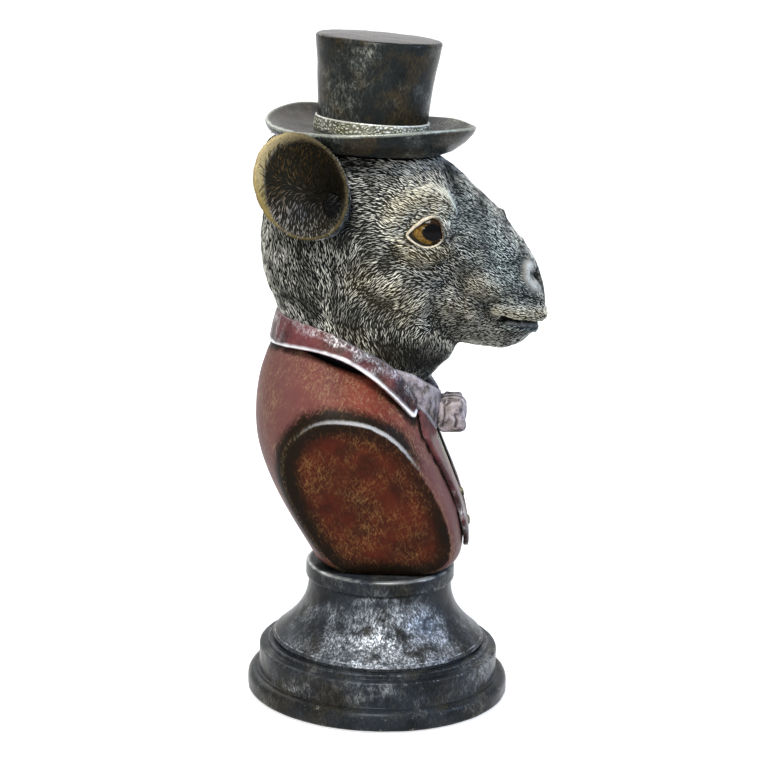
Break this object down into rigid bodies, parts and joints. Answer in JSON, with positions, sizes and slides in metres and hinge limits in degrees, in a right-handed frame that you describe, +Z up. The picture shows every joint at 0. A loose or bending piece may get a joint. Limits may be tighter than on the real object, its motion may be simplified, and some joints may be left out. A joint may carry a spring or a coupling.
{
  "type": "goat bust ornament",
  "caption": "Standing goat-head bust in top hat, tailcoat and bow tie on a turned round pedestal, cast in resin with a rubbed bronze and silver finish.",
  "frame": {"origin": "middle of the felt pad's lower face, on the pedestal's axis", "axes": "+Z up along the pedestal's axis, -Y the way the goat looks, +X towards the goat's left"},
  "size_m": [0.1578, 0.1719, 0.3996],
  "materials": {
    "gunmetal_resin": "dark gunmetal paint rubbed with silver, satin",
    "fur_resin": "dark carved fur dry-brushed with silver and old gold, satin",
    "red_resin": "rust red paint rubbed with gold over black, satin",
    "plum_resin": "dark plum paint with silver rubbed edges, satin",
    "gold_resin": "old gold paint over black, satin",
    "ivory_resin": "off-white paint, matte",
    "brass_resin": "brass paint, satin",
    "mauve_resin": "grey-mauve crackled paint, matte",
    "eye": "clear amber with a black pupil, high gloss",
    "felt": "dark green felt",
    "steel": "zinc plated",
    "beech": "plain turned dowel"
  },
  "bodies": {
    "root": {"felt_pad": "felt", "pedestal_foot": "gunmetal_resin", "pedestal_column": "gunmetal_resin", "tie_rod": "steel", "tie_rod_washer": "steel", "tie_rod_nut": "steel", "torso": "red_resin", "waistcoat": "gold_resin", "shirt_front": "ivory_resin", "waistcoat_button_1": "brass_resin", "waistcoat_button_2": "brass_resin", "jacket_collar": "plum_resin", "lapel_left": "plum_resin", "lapel_right": "plum_resin", "neck_band": "mauve_resin", "bow_knot": "mauve_resin", "bow_wing_left": "mauve_resin", "bow_wing_right": "mauve_resin", "head": "fur_resin", "ear_left": "fur_resin", "ear_right": "fur_resin", "eye_left": "eye", "eye_right": "eye", "hat_brim": "gunmetal_resin", "hat_crown": "gunmetal_resin", "hat_band": "gold_resin", "hat_dowel": "beech"}
  },
  "joints": []
}
